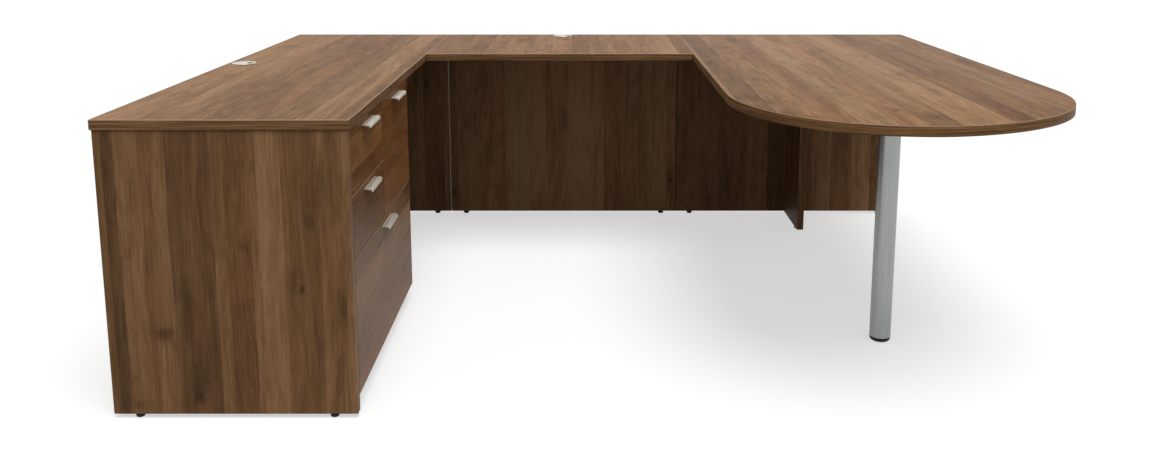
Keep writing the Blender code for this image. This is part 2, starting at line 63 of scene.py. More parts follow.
camera_data = bpy.data.cameras.new("camera")
camera_data.lens = lens
camera_data.sensor_width = film_width
camera_data.shift_x, camera_data.shift_y = frame_slide
camera = bpy.data.objects.new("camera", camera_data)
camera.location = eye
camera.rotation_euler = (math.pi / 2 - look_down, 0, 0)
bpy.context.scene.collection.objects.link(camera)
bpy.context.scene.camera = camera
bpy.context.scene.view_settings.view_transform = "Standard"

key_strength = 2.17
key_tilt = math.radians(24)
key_turn = math.radians(23)
key_softness = math.radians(38)
dome_strength = 0.38
white = (1, 1, 1, 1)
floor_half = 30.0
floor_drop = 0.0006
floor_glow = 1.10
floor_throw = (0.30, 0.30, 0.30, 1)
shadow_share = 0.47


class Wire:
    """A socket of a material. Sums and products of wires add the Math nodes that work them out."""

    def __init__(self, tree, socket=None):
        self.tree = tree
        self.socket = socket

    def node(self, kind, settings=None, values=None, output=0):
        """Adds any other node: settings, then its sockets' values or wires. Gives one output."""
        made = self.tree.nodes.new(kind)
        for name, setting in (settings or {}).items():
            if name == "stops":
                ramp = made.color_ramp
                while len(ramp.elements) < len(setting):
                    ramp.elements.new(1.0)
                for element, (place, colour) in zip(ramp.elements, setting):
                    element.position = place
                    element.color = (*colour, 1.0)
            elif name == "interpolation":
                made.color_ramp.interpolation = setting
            else:
                setattr(made, name, setting)
        for key, value in (values or {}).items():
            if isinstance(value, Wire):
                self.tree.links.new(value.socket, made.inputs[key])
            else:
                made.inputs[key].default_value = value
        return Wire(self.tree, made.outputs[output])

    def also(self, output):
        """Another output of the same node."""
        return Wire(self.tree, self.socket.node.outputs[output])

    def into(self, shader, name):
        """Links this wire to a socket of the shader."""
        self.tree.links.new(self.socket, shader.inputs[name])

    def math(self, operation, *others):
        """A Math node that isn't plain arithmetic, such as a square root."""
        values = dict(enumerate((self, *others)))
        return self.node("ShaderNodeMath", {"operation": operation}, values)

    def __add__(self, other):
        return self.math("ADD", other)

    def __sub__(self, other):
        return self.math("SUBTRACT", other)

    def __mul__(self, other):
        return self.math("MULTIPLY", other)

    def __truediv__(self, other):
        return self.math("DIVIDE", other)

    def __pow__(self, other):
        return self.math("POWER", other)

    def __rsub__(self, other):
        return self * -1.0 + other

    __radd__ = __add__
    __rmul__ = __mul__


def new_material(name):
    """An empty material: its first wire, its Principled shader and its output."""
    material = bpy.data.materials.new(name)
    material.use_nodes = True
    tree = material.node_tree
    return material, Wire(tree), tree.nodes["Principled BSDF"], tree.nodes["Material Output"]


def rising(wire, low, high):
    """A soft step: 0 below low, 1 above high."""
    values = {"Value": wire, "From Min": low, "From Max": high}
    return wire.node("ShaderNodeMapRange", {"interpolation_type": "SMOOTHSTEP"}, values)


def seen_rays(wire):
    """1 for the rays that show a thing: the camera's, and those in gloss and in glass. Else 0."""
    camera_ray = wire.node("ShaderNodeLightPath", output="Is Camera Ray")
    in_gloss, in_glass = camera_ray.also("Is Glossy Ray"), camera_ray.also("Is Transmission Ray")
    return camera_ray.math("MAXIMUM", in_gloss.math("MAXIMUM", in_glass))


world = bpy.data.worlds.new("dome")
world.use_nodes = True
bpy.context.scene.world = world
dome = Wire(world.node_tree)
background = world.node_tree.nodes["Background"]
background.inputs["Color"].default_value = white
(seen_rays(dome) * (1 - dome_strength) + dome_strength).into(background, "Strength")

key = bpy.data.objects.new("key", bpy.data.lights.new("key", "SUN"))
key.data.energy = key_strength
key.data.angle = key_softness
key.rotation_euler = (key_tilt, 0, key_turn)
bpy.context.scene.collection.objects.link(key)

# the seen floor is part plain white and part lit white, for a thin shadow; it throws little light
floor_paint, wire, shader, output = new_material("floor_paint")
lit = wire.node("ShaderNodeBsdfDiffuse", None, {"Color": white})
plain = wire.node("ShaderNodeEmission", None, {"Color": white, "Strength": floor_glow})
seen = wire.node("ShaderNodeMixShader", None, {0: shadow_share, 1: plain, 2: lit})
thrown = wire.node("ShaderNodeBsdfDiffuse", None, {"Color": floor_throw})
whole = wire.node("ShaderNodeMixShader", None, {0: seen_rays(wire), 1: thrown, 2: seen})
whole.into(output, "Surface")

floor_mesh = bpy.data.meshes.new("floor")
floor_corners = np.array([(-1, -1), (1, -1), (1, 1), (-1, 1)]) * floor_half
floor_mesh.from_pydata(np.c_[floor_corners, np.full(4, -floor_drop)], [], [(0, 1, 2, 3)])
floor = bpy.data.objects.new("floor", floor_mesh)
floor_mesh.materials.append(floor_paint)
bpy.context.scene.collection.objects.link(floor)

# Worktops
# Three 25 mm boards faced with a walnut-print laminate, its planks side by side with their grain
# front to back. The edges are wrapped in a band whose grain runs along them. The thin arris above
# is pale with wear and a painted highlight, and the one below is darkened with painted shade.

walnut_shades = [
    (0.00, (0.042, 0.020, 0.009)),
    (0.35, (0.112, 0.055, 0.023)),
    (0.65, (0.205, 0.104, 0.044)),
    (1.00, (0.345, 0.193, 0.094)),
]
# the print's casts: a plank draws its own, and takes on olive or red between these two draws
olive_cast, olive_draws = (0.96, 1.01, 1.02, 1), (0.70, 0.95)
red_cast, red_draws = (1.03, 0.98, 0.96, 1), (0.40, 0.15)
smoke_cast, smoke_tint, knot_tint = (0.96, 1.01, 1.04, 1), 0.8, 0.5

# clouds of the print: how many a metre across the grain and along it, then their slice of the
# noise, its detail and its roughness
print_clouds = {
    "feather": (300.0, 5.0, 7.0, 2.0, 0.50),
    "ragged": (60.0, 60.0, 0.0, 2.0, 0.50),
    "flow": (7.0, 1.5, 0.0, 1.5, 0.50),
    "broad": (24.0, 1.6, 0.0, 3.0, 0.55),
    "mottle": (38.0, 13.0, 4.0, 3.0, 0.60),
    "medium": (105.0, 4.5, 3.0, 3.0, 0.60),
    "fine": (420.0, 15.0, 2.0, 2.0, 0.50),
    "figured": (9.0, 1.7, 5.0, 1.0, 0.50),
    "streak": (230.0, 3.0, 6.0, 2.0, 0.50),
    "smoke": (11.0, 4.5, 9.0, 3.0, 0.50),
    "pores": (900.0, 38.0, 0.0, 1.0, 0.50),
}
# a mark is a cloud that shows from the first of these levels, and fully from the second
mark_levels = {
    "figured": (0.40, 0.64),
    "streak": (0.58, 0.74),
    "smoke": (0.56, 0.80),
    "pores": (0.60, 0.74),
}
# how far each cloud and mark moves a plank's tone
broad_share, mottle_share, medium_share, fine_share = 0.55, 0.30, 0.44, 0.40
ring_share, line_share, faint_line_share = 0.10, 0.22, 0.02
streak_share, pore_share, smoke_share = 0.13, 0.10, 0.24
knot_share, push_share = 0.36, 0.09

# planks: how uneven they are, and how far their edges stray, as a share of the board's width
plank_unevenness = 0.8
stray_share = 0.02
# how far apart the slices of the noise are that planks and boards take
plank_slices = 31.0
board_slices = 7.31

# the log: the least width of a ring and the least depth of its heart, what chance adds to each, how
# many drifts of that depth there are a metre, how sharply a ring's line sets in, and where it ends
ring_least, ring_more = 0.007, 0.007
heart_least, heart_more = 0.004, 0.11
heart_drifts = 1.3
line_power = 4.0
line_end = (0.93, 1.0)

# chance knots: cells a metre across and along, the draws that make one, and its reach in cells
knot_cells = (5.5, 2.6)
knotty_draws = (0.82, 0.86)
knot_reach, push_reach = 0.075, 0.24
cell_raggedness = 0.11
# placed knots: where the dark and the push fade, and how ragged the edge is, in half widths
oval_knot, oval_push = (0.1, 1.1), (0.2, 2.6)
oval_raggedness = 0.66
# how far a knot pushes the rings aside, in metres
knot_shove = 0.018

# edges: how squarely a face looks along an axis on an arris and beyond it, and up on band and board
arris_levels = (0.90, 0.94)
board_levels = (0.60, 0.62)
upward = (0.2, 0.4)
# arrises are worn a little pale, and those that face up also take a painted highlight
wear_and_highlight_colour = (0.50, 0.37, 0.26, 1)
upward_wear_and_highlight, side_wear_share = 0.75, 0.15
# painted shade: the dark brown for downward arrises, fronts' edges in their gaps and the tight seam
painted_shade_brown = (0.020, 0.012, 0.008, 1)
under_shade_share = 0.75
# a front's face takes full painted shade below the first facing along X, and none above the second
shaded_edge_levels = (0.55, 0.85)
seam_share = 0.8
seam_core = 0.4
# the band's clouds a metre along X, Y and Z, and how far each moves its tone; the detail and the
# roughness that noise takes for fine lines
band_lengths, length_share = (5.0, 5.0, 260.0), 1.5
band_breaks, break_share = (30.0, 30.0, 700.0), 0.4
line_detail = (3.0, 0.6)

pore_depth, line_depth = 0.6, 0.25
print_relief, relief_share = 0.0004, 0.25
pore_dullness, grain_dullness = 0.10, 0.10


class Look(NamedTuple):
    """What sets one board's print apart. Tones run from 0, near black, to 1, pale."""

    tone: float = 0.6  # of a middling plank
    spread: float = 0.5  # of the planks' tones
    plank_width: float = 0.085
    sway: float = 0.085  # how far the grain bends aside
    figure: float = 1.0  # how strongly the grain shows
    dullness: float = 0.5
    shine: float = 0.10
    band: float | None = None  # the tone of an edge band with a grain of its own
    stain: tuple | None = None  # a colour that the print is multiplied by
    gap_shade: float = 0.0  # how dark the painted shade is on an edge beside a narrow gap


def noise(wire, across, along, third, detail=2.0, roughness=0.5):
    """Cloudy values near one half, at a scale set by the three places given."""
    place = wire.node("ShaderNodeCombineXYZ", None, {"X": across, "Y": along, "Z": third})
    values = {"Vector": place, "Scale": 1.0, "Detail": detail, "Roughness": roughness}
    return wire.node("ShaderNodeTexNoise", {"noise_dimensions": "3D"}, values)


def print_cloud(wire, kind, across, along, seed):
    """One kind of the print's clouds."""
    wide, long, own_slice, detail, roughness = print_clouds[kind]
    return noise(wire, across * wide, along * long, seed + own_slice, detail, roughness)


def print_mark(wire, kind, across, along, seed):
    """One kind of the print's marks: 0 where there is none, 1 where it is full."""
    return rising(print_cloud(wire, kind, across, along, seed), *mark_levels[kind])


def ramped(wire, stops, place, interpolation="LINEAR"):
    """The colour at a place among stops."""
    settings = {"stops": stops, "interpolation": interpolation}
    return wire.node("ShaderNodeValToRGB", settings, {"Fac": place})


def blended(wire, share, first, second, how="MIX"):
    """Two colours put together by a share."""
    settings = {"data_type": "RGBA", "blend_type": how}
    return wire.node("ShaderNodeMix", settings, {0: share, 6: first, 7: second}, output=2)


def parted(wire, vector):
    """The X, Y and Z of a vector."""
    x = wire.node("ShaderNodeSeparateXYZ", None, {"Vector": vector}, output="X")
    return x, x.also("Y"), x.also("Z")


def object_place(wire):
    """The three Object coordinates, in metres."""
    return parted(wire, wire.node("ShaderNodeTexCoord", output="Object"))


def clouds(wire, counts, detail=2.0, roughness=0.5, own_slice=0.0):
    """Noise with so many clouds a metre along X, Y and Z."""
    x, y, z = object_place(wire)
    return noise(wire, x * counts[0], y * counts[1], z * counts[2] + own_slice, detail, roughness)


def face_normal(wire):
    """The three parts of the direction that a face looks in."""
    return parted(wire, wire.node("ShaderNodeNewGeometry", output="True Normal"))


def dyes(wire, colour):
    """The red, green and blue of a colour."""
    red = wire.node("ShaderNodeSeparateColor", None, {"Color": colour}, output="Red")
    return red, red.also("Green"), red.also("Blue")


def bumped(wire, shader, height, share, relief):
    """Bumps from a height of 0 to 1, at a share of their full relief."""
    values = {"Strength": share, "Distance": relief, "Height": height}
    wire.node("ShaderNodeBump", None, values).into(shader, "Normal")


def surfaced(shader, colour, dull, metal=0.0):
    """Gives a shader its colour and roughness, and how far it is metal."""
    colour.into(shader, "Base Color")
    dull.into(shader, "Roughness")
    shader.inputs["Metallic"].default_value = metal


def chance_planks(wire, across, seed, look):
    """Planks of uneven width, one to a Voronoi cell, whose colour gives tone, cast and chance.

    The last value given is how far across the plank a place lies from its heart.
    """
    start = seed * board_slices
    values = {"W": across / look.plank_width + start, "Scale": 1.0, "Randomness": plank_unevenness}
    cell = wire.node("ShaderNodeTexVoronoi", {"voronoi_dimensions": "1D"}, values, output="Color")
    draw, chance, cast = dyes(wire, cell)
    heart = across - (cell.also("W") - start) * look.plank_width
    return (draw - 0.5) * look.spread + look.tone, cast, chance, heart


def placed_planks(wire, across, along, seed, left, width, planks):
    """The same four for planks at given places: a stepped ramp holds tone, cast and heart."""
    stray = (print_cloud(wire, "feather", across, along, seed) - 0.5) * stray_share
    place = (across - left) / width + stray
    tone, cast, middle = dyes(wire, ramped(wire, planks, place, "CONSTANT"))
    chance = wire.node("ShaderNodeTexWhiteNoise", {"noise_dimensions": "1D"}, {"W": middle})
    return tone, cast, chance, (place - middle) * width


def knotted(wire, across, along, seed, chance, knots):
    """Knots, as dark ovals with a ragged edge, and how far they push the grain around them.

    Chance knots are the middles of a few Voronoi cells. A placed one is where the root of the
    squares of the places across and along it, in its half widths, is under about 1.
    """
    ragged = print_cloud(wire, "ragged", across, along, seed) - 0.5
    cells = {"X": across * knot_cells[0] + seed, "Y": along * knot_cells[1] + chance, "Z": 0.0}
    place = wire.node("ShaderNodeCombineXYZ", None, cells)
    values = {"Vector": place, "Scale": 1.0, "Randomness": 1.0}
    far = wire.node("ShaderNodeTexVoronoi", {"voronoi_dimensions": "2D"}, values, output="Distance")
    knotty = rising(dyes(wire, far.also("Color"))[0], *knotty_draws)
    knot = (1 - rising(far + ragged * cell_raggedness, 0.0, knot_reach)) * knotty
    push = (1 - rising(far, 0.0, push_reach)) * knotty
    for middle, height, half_width, half_height, dark in knots:
        out, up = (across - middle) / half_width, (along - height) / half_height
        oval = (out * out + up * up).math("SQRT") + ragged * oval_raggedness
        knot = knot + (1 - rising(oval, *oval_knot)) * dark
        push = push + (1 - rising(oval, *oval_push)) * dark
    return knot, push


def walnut(name, faces, seed, look=Look(), planks=None, knots=(), seams=()):
    """Walnut-print laminate, worked out in the plane of a board's face.

    The grain runs along Y on a top and on a drawer's front, and along Z on an upright board. Planks
    and knots lie where chance puts them, and where the tables given say.

    Each plank takes a tone, a cast of red or olive, and its own log: the distance to the log's
    heart is the root of the squares of the place across the plank and of the heart's depth, which
    drifts along it. Rings of that distance draw straight grain at the sides and arches in the
    middle. A slow sway bends the rings and streaks together, and knots push them aside. Smoke
    darkens some places, and short pores run along the grain. The band has streaks alone. An arris
    that faces up is pale with wear and a painted highlight, and the others but a drawer front's are
    worn a little pale. An arris that faces down is darkened with painted shade, and so are a drawer
    front's edges in their narrow gaps. A seam between two boards is a line of the tint given:
    painted shade at a tight seam, painted light at an open one.
    """
    material, wire, shader, _ = new_material(name)
    x, y, z = object_place(wire)
    across, along = {"top": (x, y), "upright": (x + y, z), "drawer": (z + x, y)}[faces]

    if planks is None:
        plank_tone, cast, chance, heart = chance_planks(wire, across, seed, look)
    else:
        plank_tone, cast, chance, heart = placed_planks(wire, across, along, seed, *planks)
    shift = chance * plank_slices + seed
    knot, push = knotted(wire, across, along, seed, chance, knots)

    flow = (print_cloud(wire, "flow", across, along, shift) - 0.5) * look.sway
    depth = noise(wire, along * heart_drifts, shift, 0.0, 1.0) * heart_more + heart_least
    log = (heart * heart + depth * depth).math("SQRT") + flow + push * knot_shove
    ring = (log / (chance * ring_more + ring_least)).math("FRACT")
    line = ring**line_power * (1 - rising(ring, *line_end))
    figured = print_mark(wire, "figured", across, along, shift)
    smoke = print_mark(wire, "smoke", across, along, shift)

    flowing = across + flow
    broad, mottle, medium = (
        print_cloud(wire, kind, flowing, along, shift) - 0.5 for kind in ("broad", "mottle", "medium")
    )
    fine = print_cloud(wire, "fine", flowing, along, seed) - 0.5
    streak = print_mark(wire, "streak", flowing, along, shift)
    pores = print_mark(wire, "pores", flowing, along, seed)

    grain = broad * broad_share + medium * medium_share + fine * fine_share + mottle * mottle_share
    grain = grain + (ring - 0.5) * figured * ring_share
    grain = grain - line * (figured * line_share + faint_line_share)
    grain = grain - streak * streak_share - pores * pore_share
    tone = plank_tone + grain * look.figure
    tone = tone - smoke * smoke_share - knot * knot_share - push * push_share
    colour = uncast = ramped(wire, walnut_shades, tone)
    olive, red = rising(cast, *olive_draws), rising(cast, *red_draws)
    smoky = (smoke * smoke_tint + knot * knot_tint).math("MINIMUM", 1.0)
    for share, tint in ((olive, olive_cast), (red, red_cast), (smoky, smoke_cast)):
        colour = blended(wire, share, colour, blended(wire, 1.0, uncast, tint, "MULTIPLY"))

    height = 1 - pores * pore_depth - line * line_depth
    facing_x, facing_y, facing_z = face_normal(wire)
    upright = facing_z.math("ABSOLUTE")
    if faces == "top":
        squarely = (1 - upright * upright).math("SQRT").math("MAXIMUM", upright)
    else:
        level = facing_x.math("ABSOLUTE").math("MAXIMUM", facing_y.math("ABSOLUTE"))
        squarely = level.math("MAXIMUM", upright)
    arris = 1 - rising(squarely, *arris_levels)
    if look.band is not None:
        on_board = rising(upright, *board_levels)
        lengths = clouds(wire, band_lengths, *line_detail, seed) - 0.5
        breaks = clouds(wire, band_breaks, own_slice=seed) - 0.5
        band_tone = lengths * length_share + breaks * break_share + look.band
        colour = blended(wire, on_board, ramped(wire, walnut_shades, band_tone), colour)
        height = height * on_board + (1 - on_board) * (lengths + 0.5)
    if look.stain is not None:
        colour = blended(wire, 1.0, colour, look.stain, "MULTIPLY")
    side_wear = side_wear_share
    # painted shade: a drawer front's edges that don't face along X, in the narrow gaps, are darkened
    if look.gap_shade > 0:
        edge = 1 - rising(facing_x.math("ABSOLUTE"), *shaded_edge_levels)
        colour = blended(wire, edge * look.gap_shade, colour, painted_shade_brown)
        side_wear = 0.0
    # arrises are worn a little pale, and those facing up are paler still with a painted highlight
    wear_and_highlight = arris * (rising(facing_z, *upward) * (upward_wear_and_highlight - side_wear) + side_wear)
    colour = blended(wire, wear_and_highlight, colour, wear_and_highlight_colour)
    # each seam takes a line of its tint: painted light at an open seam, painted shade at a tight one
    for seam, half_width, tint in seams:
        beside = 1 - rising((x - seam).math("ABSOLUTE"), half_width * seam_core, half_width)
        colour = blended(wire, beside * seam_share, colour, tint)
    # painted shade on each arris that faces down
    shadowed = arris * rising(facing_z * -1.0, *upward) * under_shade_share
    colour = blended(wire, shadowed, colour, painted_shade_brown)
    surfaced(shader, colour, pores * pore_dullness + medium * grain_dullness + look.dullness)
    bumped(wire, shader, height, relief_share, print_relief)
    shader.inputs["Specular IOR Level"].default_value = look.shine
    return material


def dress(node, material):
    """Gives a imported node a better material."""
    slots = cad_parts[node].data.materials
    slots.clear()
    slots.append(material)


crease = math.radians(30)


def skin(name, shells, material, body, stands_for=None):
    """Adds one object of closed shells: each an array of rings of points, and whether it loops.

    Each ring is joined to the next by four-sided faces. The end rings are closed by flat faces, or
    joined to each other where the shell loops. All faces are then turned outwards, and smoothed
    except at creases.
    """
    points, faces, used = [], [], 0
    for rings, loops in shells:
        count, around, _ = rings.shape
        row, corner = np.mgrid[0 : count if loops else count - 1, 0:around]
        beside, on = (corner + 1) % around, (row + 1) % count * around
        corners = [row * around + corner, row * around + beside, on + beside, on + corner]
        faces += (np.stack(corners, axis=-1).reshape(-1, 4) + used).tolist()
        if not loops:
            first = np.arange(used, used + around)
            faces += [first[::-1].tolist(), (first + (count - 1) * around).tolist()]
        points.append(rings.reshape(-1, 3))
        used += count * around
    mesh = bpy.data.meshes.new(name)
    mesh.from_pydata(np.concatenate(points), [], faces)
    shape = bmesh.new()
    shape.from_mesh(mesh)
    bmesh.ops.recalc_face_normals(shape, faces=shape.faces)
    shape.to_mesh(mesh)
    shape.free()
    mesh.shade_smooth()
    mesh.set_sharp_from_angle(angle=crease)
    mesh.materials.append(material)
    piece = bpy.data.objects.new(name, mesh)
    bpy.context.scene.collection.objects.link(piece)
    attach(piece, body)
    if stands_for:
        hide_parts(stands_for)


def bezier(corners, steps):
    """Points of a cubic Bezier arc: corners weighted by cubes and products of t and 1 - t."""
    t = np.linspace(0, 1, steps)[:, None]
    start, leaving, arriving, end = np.array(corners)
    inner = 3 * (1 - t) ** 2 * t * leaving + 3 * (1 - t) * t**2 * arriving
    return (1 - t) ** 3 * start + inner + t**3 * end


def drawn_out(outline, moves):
    """Rings over an anticlockwise outline of (u, v) points. Each move is how far in, and how high.

    A point goes in along the sum of its two sides' inward normals over one plus their product, so
    corners stay mitred.
    """
    run = np.roll(outline, -1, axis=0) - outline
    run = run / np.linalg.norm(run, axis=1, keepdims=True)
    inward = np.c_[-run[:, 1], run[:, 0]]
    before = np.roll(inward, 1, axis=0)
    mitre = (inward + before) / (1 + (inward * before).sum(axis=1, keepdims=True))
    moves = np.array(moves)
    flat = outline + moves[:, :1, None] * mitre
    return np.concatenate([flat, np.broadcast_to(moves[:, 1:, None], (*flat.shape[:2], 1))], axis=2)


def eased(low, high, arris, steps=4):
    """Moves for drawn_out from a low face to a high one, both edges rounded by a quarter circle."""
    turn = np.linspace(0, math.pi / 2, steps + 1)
    in_by, off = arris * (1 - np.cos(turn)), arris * (1 - np.sin(turn))
    return np.r_[np.c_[in_by, low + off][::-1], np.c_[in_by, high - off]]


top_look = Look(plank_width=0.075, spread=0.40, sway=0.045, figure=1.3, shine=0.05)
# each top: its seed, its tone and its band's tone
tops = {
    "left_top": (1.3, 0.785, 0.59),
    "bridge_top": (4.7, 0.74, 0.56),
    "peninsula_top": (9.1, 0.685, 0.60),
}
left_walnut, bridge_walnut, peninsula_walnut = (
    walnut(f"{node}_walnut", "top", seed, top_look._replace(tone=tone, band=band))
    for node, (seed, tone, band) in tops.items()
)
dress("left_top", left_walnut)
dress("bridge_top", bridge_walnut)

# the rounded end: how far back each side's curve starts, and its handles as shares of its depth
# and half width
nose_left_depth, nose_right_depth = 0.428, 0.506
nose_tip_share = 0.46
left_handles, right_handles = (0.227, 0.856), (0.346, 0.704)
nose_steps = 64
board_arris = 0.0015
board_low, board_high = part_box("peninsula_top")
tip = (board_low.x + nose_tip_share * (board_high.x - board_low.x), board_low.y)
left_end = (board_low.x, board_low.y + nose_left_depth)
right_end = (board_high.x, board_low.y + nose_right_depth)
left_side = (board_low.x, left_end[1] - left_handles[0] * nose_left_depth)
left_front = (tip[0] - left_handles[1] * (tip[0] - board_low.x), tip[1])
right_front = (tip[0] + right_handles[0] * (board_high.x - tip[0]), tip[1])
right_side = (board_high.x, right_end[1] - right_handles[1] * nose_right_depth)
left_curve = bezier((left_end, left_side, left_front, tip), nose_steps)
right_curve = bezier((tip, right_front, right_side, right_end), nose_steps)
board_outline = np.r_[
    [(board_low.x, board_high.y)], left_curve, right_curve[1:], [(board_high.x, board_high.y)]
]
board = drawn_out(board_outline, eased(board_low.z, board_high.z, board_arris))
skin("peninsula_board", [(board, False)], peninsula_walnut, "desk", "peninsula_top")

# Cable grommets
# Two round liners pressed into the tops. A cap turns inside each, to open or shut a notch for the
# cables. Their rims are satin nickel. They are black from just below the rim's top down, and
# mostly black on their upright walls.

nickel_dark = (0.50, 0.465, 0.385)
nickel_light = (0.76, 0.72, 0.62)
brush_lines, finger_marks = (1400.0, 14.0, 1400.0), (60.0,) * 3
nickel_dullness, brush_dullness, touch_dullness = 0.18, 0.16, 0.12
inner_black = (0.012, 0.011, 0.010, 1)
black_depth, nickel_depth = 0.0010, 0.0006
wall_levels, wall_black_share = (0.90, 0.96), 0.85


def carried_round(centre, radius, turn, height):
    """Rings of points about an upright axis: radius times the cosine and sine of the turn."""
    x, y = centre[0] + radius * np.cos(turn), centre[1] + radius * np.sin(turn)
    return np.stack(np.broadcast_arrays(x, y, height), axis=-1)


def turned(profile, centre, sides):
    """A profile of (radius, height) points carried round as on a lathe."""
    profile, turn = np.array(profile), np.arange(sides) * math.tau / sides
    return carried_round(centre, profile[:, :1], turn, profile[:, 1:])


def arc(centre, radius, start, end, steps):
    """Points of a circle's arc between two angles in degrees."""
    turn = np.radians(np.linspace(start, end, steps + 1))
    return np.c_[centre[0] + radius * np.cos(turn), centre[1] + radius * np.sin(turn)]


def middle_of(low, high):
    """The X and Y of the middle of a box."""
    return (low.x + high.x) / 2, (low.y + high.y) / 2


def shaded(wire, dark, light, share):
    """A colour that noise takes from dark to light. Nearly all of it lies from 0.3 to 0.7."""
    return ramped(wire, [(0.3, dark), (0.7, light)], share)


def nickel_skin(wire):
    """Satin nickel's colour and roughness: fine brush lines along Y under soft finger marks."""
    brushed = clouds(wire, brush_lines, *line_detail)
    touched = clouds(wire, finger_marks)
    dull = brushed * brush_dullness + touched * touch_dullness + nickel_dullness
    return shaded(wire, nickel_dark, nickel_light, brushed), dull


rim_nickel, wire, shader, _ = new_material("rim_nickel")
rim_colour, rim_dull = nickel_skin(wire)
rim_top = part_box("left_grommet_liner")[1].z
# nickel near the rim's top, black below it, and mostly black on upright walls
near_rim_top = rising(object_place(wire)[2], rim_top - black_depth, rim_top - nickel_depth)
on_wall = rising(1 - face_normal(wire)[2].math("ABSOLUTE"), *wall_levels)
nickel_share = near_rim_top * (1 - on_wall * wall_black_share)
surfaced(shader, blended(wire, nickel_share, inner_black, rim_colour), rim_dull)
nickel_share.into(shader, "Metallic")

rim_sides = 96
sleeve, bore = 0.030, 0.0265
flange_thickness, flange_round, mouth_chamfer = 0.002, 0.0012, 0.0002
cap_side_gap, cap_under_gap, cap_arris = 0.0004, 0.0003, 0.0004
barb_depth, barb_pitch, first_barb, barb_points = 0.0006, 0.002, 0.004, 6
notch_radius, notch_inset = 0.014, 0.004

for side in ("left", "bridge"):
    low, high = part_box(f"{side}_grommet_liner")
    cap_low, cap_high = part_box(f"{side}_grommet_cap")
    centre = middle_of(low, high)
    flange = (high.x - low.x) / 2
    flange_under = high.z - flange_thickness
    cap_radius = (cap_high.y - cap_low.y) / 2
    recess, seat = cap_radius + cap_side_gap, cap_low.z - cap_under_gap
    barbs = [
        (sleeve - barb_depth * (point % 2), flange_under - first_barb - barb_pitch * point)
        for point in range(barb_points)
    ]
    liner_profile = [
        (recess, high.z - mouth_chamfer),
        (recess + mouth_chamfer, high.z),
        *arc((flange - flange_round, high.z - flange_round), flange_round, 90, 0, 5),
        (flange, flange_under),
        (sleeve, flange_under),
        *barbs,
        (sleeve, low.z),
        (bore, low.z),
        (bore, seat),
        (recess, seat),
    ]
    liner, liner_node = turned(liner_profile, centre, rim_sides), f"{side}_grommet_liner"
    skin(f"{side}_liner", [(liner, True)], rim_nickel, "desk", liner_node)

    # the cap's outline: its circle from one horn of the notch round to the other, and back along
    # the notch; the law of cosines finds the horns, where the two circles cross
    notch_from = cap_radius - notch_inset
    cosine = (cap_radius**2 + notch_from**2 - notch_radius**2) / (2 * cap_radius * notch_from)
    horn = math.acos(cosine)
    horn_out, horn_up = cap_radius * cosine - notch_from, cap_radius * math.sin(horn)
    horn, notch_turn = math.degrees(horn), math.degrees(math.atan2(horn_up, horn_out))
    rim_arc = arc(centre, cap_radius, horn, 360 - horn, 90)
    notch_middle = (centre[0] + notch_from, centre[1])
    notch_arc = arc(notch_middle, notch_radius, 360 - notch_turn, notch_turn, 36)
    cap = drawn_out(np.r_[rim_arc, notch_arc[1:-1]], eased(cap_low.z, cap_high.z, cap_arris, 3))
    cap_name = f"{side}_cap"
    skin(cap_name, [(cap, False)], rim_nickel, cap_name, f"{side}_grommet_cap")

# Uprights
# Panels of the same board with the grain upright and banded edges. They hang under the tops and
# stand on glides. The front end panel is seen full on: broad planks from dark olive to pale brown.

# each plank: where it starts, as a share of the width, then its tone, cast and heart's place
end_planks = [
    (0.000, (0.55, 0.30, 0.02)),
    (0.028, (0.40, 0.85, 0.05)),
    (0.075, (0.70, 0.50, 0.12)),
    (0.172, (0.58, 0.20, 0.18)),
    (0.200, (0.70, 0.50, 0.25)),
    (0.277, (0.50, 0.60, 0.38)),
    (0.450, (0.60, 0.35, 0.48)),
    (0.503, (0.50, 0.15, 0.56)),
    (0.598, (0.65, 0.50, 0.61)),
    (0.630, (0.80, 0.50, 0.70)),
    (0.728, (0.65, 0.30, 0.74)),
    (0.750, (0.52, 0.30, 0.81)),
    (0.873, (0.70, 0.50, 0.88)),
    (0.900, (0.60, 0.40, 0.93)),
    (0.972, (0.75, 0.50, 0.98)),
]
# each knot: its place as shares of width and height, its half width and height, and how dark
end_knots = [
    (0.229, 0.290, 0.026, 0.026, 0.90),
    (0.370, 0.130, 0.040, 0.075, 0.50),
    (0.360, 0.060, 0.018, 0.022, 0.60),
    (0.794, 0.450, 0.010, 0.016, 0.80),
    (0.833, 0.690, 0.016, 0.024, 0.45),
    (0.945, 0.400, 0.024, 0.050, 0.25),
    (0.570, 0.600, 0.016, 0.016, 0.30),
    (0.107, 0.035, 0.018, 0.018, 0.50),
]
# an upright board's print runs across by X and Y together, so its left edge is where both start
end_low, end_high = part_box("front_end_panel")
end_left = end_low.x + end_low.y
end_width, end_height = end_high.x - end_low.x, end_high.z - end_low.z
knots = [
    (end_left + over * end_width, end_low.z + up * end_height, half_width, half_height, dark)
    for over, up, half_width, half_height, dark in end_knots
]
planks = (end_left, end_width, end_planks)
end_seed = 2.2
dress("front_end_panel", walnut("end_walnut", "upright", end_seed, planks=planks, knots=knots))

# at the open seam at the left, a board's edge is painted pale as painted light through the gap,
# and the tight seam is a dark line of painted shade
painted_seam_light = (0.85, 0.74, 0.64, 1)
open_seam = (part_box("left_rear_panel")[1].x, 0.0022, painted_seam_light)
tight_seam = (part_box("peninsula_back_panel")[0].x, 0.0040, painted_shade_brown)
